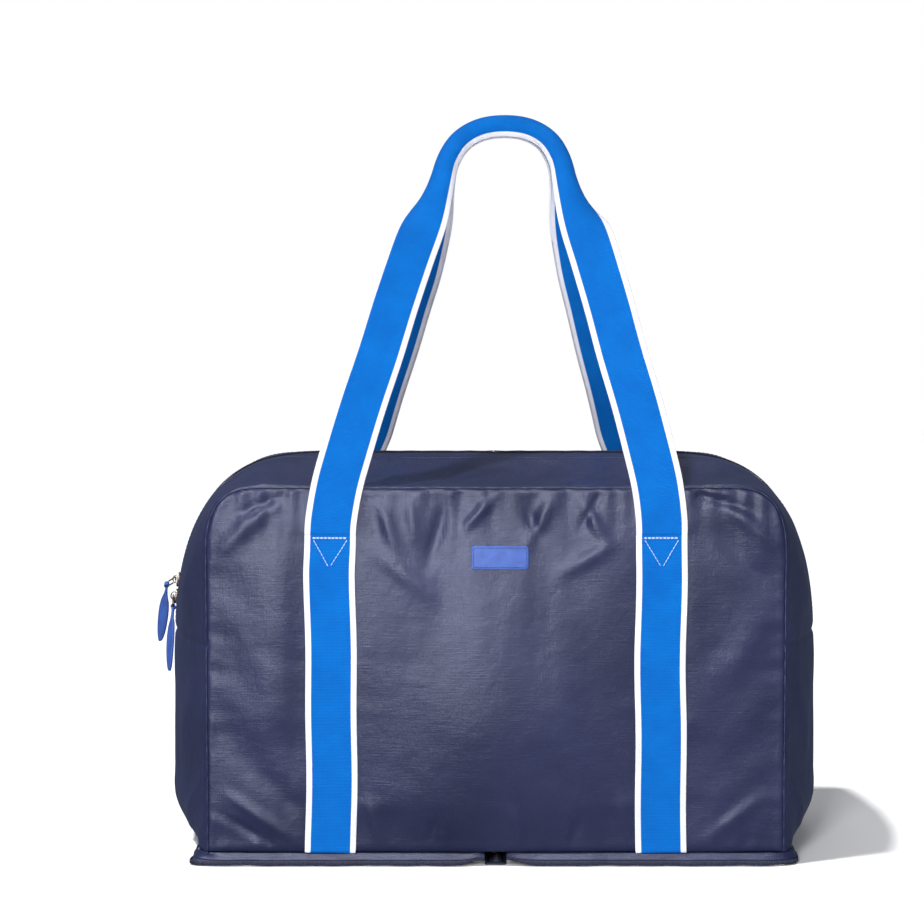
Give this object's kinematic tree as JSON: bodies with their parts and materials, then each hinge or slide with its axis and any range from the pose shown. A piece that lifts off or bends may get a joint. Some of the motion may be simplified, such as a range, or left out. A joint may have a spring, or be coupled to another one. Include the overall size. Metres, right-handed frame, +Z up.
{
  "type": "foldable tote bag",
  "caption": "Soft nylon zip-top tote with two long webbing handles, standing on its opened zip-round storage pouch.",
  "frame": {"origin": "middle of the base, on the surface that the bag stands on", "axes": "+X towards the viewer's right, -Y the front with the label, +Z up to the handles"},
  "size_m": [0.508, 0.2659, 0.5603],
  "materials": {
    "shell_fabric": "satin coated nylon twill",
    "webbing": "ribbed cotton webbing with a white stripe along each edge",
    "thread": "thread",
    "leather": "fine grain, semi-matt",
    "gold_hardware": "polished pale gold",
    "zip_tape": "woven zip tape",
    "zip_coil": "nylon coil"
  },
  "bodies": {
    "body": {"front_panel": "shell_fabric", "back_panel": "shell_fabric", "left_side_panel": "shell_fabric", "right_side_panel": "shell_fabric", "front_band_left": "shell_fabric", "front_band_right": "shell_fabric", "back_band_left": "shell_fabric", "back_band_right": "shell_fabric", "base_left": "shell_fabric", "base_right": "shell_fabric", "base_spine": "shell_fabric", "pouch_gusset_left": "shell_fabric", "pouch_gusset_right": "shell_fabric", "pouch_zip_left": "zip_coil", "pouch_zip_right": "zip_coil", "front_tape_left": "zip_tape", "front_tape_right": "zip_tape", "back_tape_left": "zip_tape", "back_tape_right": "zip_tape", "left_coil": "zip_coil", "right_coil": "zip_coil", "front_strap_left": "webbing", "front_strap_right": "webbing", "back_strap_left": "webbing", "back_strap_right": "webbing", "front_stitches_left": "thread", "front_stitches_right": "thread", "back_stitches_left": "thread", "back_stitches_right": "thread", "front_label": "leather", "pouch_label": "leather", "pouch_slider": "gold_hardware"},
    "front_flap_body": {"front_flap": "shell_fabric", "front_tape_top": "zip_tape", "front_coil_top": "zip_coil"},
    "back_flap_body": {"back_flap": "shell_fabric", "back_tape_top": "zip_tape", "back_coil_top": "zip_coil"},
    "front_handle_body": {"front_handle": "webbing"},
    "back_handle_body": {"back_handle": "webbing"},
    "slider_a_body": {"slider_a": "gold_hardware"},
    "ring_a_body": {"ring_a": "gold_hardware"},
    "tab_a_body": {"tab_a": "leather"},
    "slider_b_body": {"slider_b": "gold_hardware"},
    "ring_b_body": {"ring_b": "gold_hardware"},
    "tab_b_body": {"tab_b": "leather"},
    "pouch_ring_body": {"pouch_ring": "gold_hardware"},
    "pouch_tab_body": {"pouch_tab": "leather"}
  },
  "joints": [
    {"name": "front_handle_swing", "type": "hinge", "parent": "body", "child": "front_handle_body", "pos_m": [0, -0.13, 0.2466], "axis": [1, 0, 0], "range_deg": [0, 140]},
    {"name": "back_handle_swing", "type": "hinge", "parent": "body", "child": "back_handle_body", "pos_m": [0, 0.13, 0.2466], "axis": [-1, 0, 0], "range_deg": [0, 140]},
    {"name": "front_flap_open", "type": "hinge", "parent": "body", "child": "front_flap_body", "pos_m": [0, -0.125, 0.283], "axis": [1, 0, 0], "range_deg": [0, 50]},
    {"name": "back_flap_open", "type": "hinge", "parent": "body", "child": "back_flap_body", "pos_m": [0, 0.125, 0.283], "axis": [-1, 0, 0], "range_deg": [0, 50]},
    {"name": "slider_a_travel", "type": "slide", "parent": "body", "child": "slider_a_body", "axis": [0.1523, 0, 0.9883], "range_m": [0, 0.018]},
    {"name": "ring_a_swing", "type": "hinge", "parent": "slider_a_body", "child": "ring_a_body", "pos_m": [-0.24951, 0, 0.19975], "axis": [0, 0.9135, 0.4067], "range_deg": [0, 70]},
    {"name": "tab_a_swing", "type": "hinge", "parent": "ring_a_body", "child": "tab_a_body", "pos_m": [-0.25688, 0.0021, 0.19503], "axis": [0, 0.9135, 0.4067], "range_deg": [0, 90]},
    {"name": "slider_b_travel", "type": "slide", "parent": "body", "child": "slider_b_body", "axis": [0.1079, 0, 0.9942], "range_m": [-0.012, 0]},
    {"name": "ring_b_swing", "type": "hinge", "parent": "slider_b_body", "child": "ring_b_body", "pos_m": [-0.25123, 0, 0.18653], "axis": [0, 0.9135, -0.4067], "range_deg": [0, 55]},
    {"name": "tab_b_swing", "type": "hinge", "parent": "ring_b_body", "child": "tab_b_body", "pos_m": [-0.25123, -0.00366, 0.17831], "axis": [0, 0.9135, -0.4067], "range_deg": [0, 90]},
    {"name": "pouch_ring_swing", "type": "hinge", "parent": "body", "child": "pouch_ring_body", "pos_m": [0, 0.1309, 0.007], "axis": [0, 0, -1], "range_deg": [0, 90]},
    {"name": "pouch_tab_swing", "type": "hinge", "parent": "pouch_ring_body", "child": "pouch_tab_body", "pos_m": [-0.009, 0.1309, 0.007], "axis": [0, 0, -1], "range_deg": [0, 90]}
  ]
}
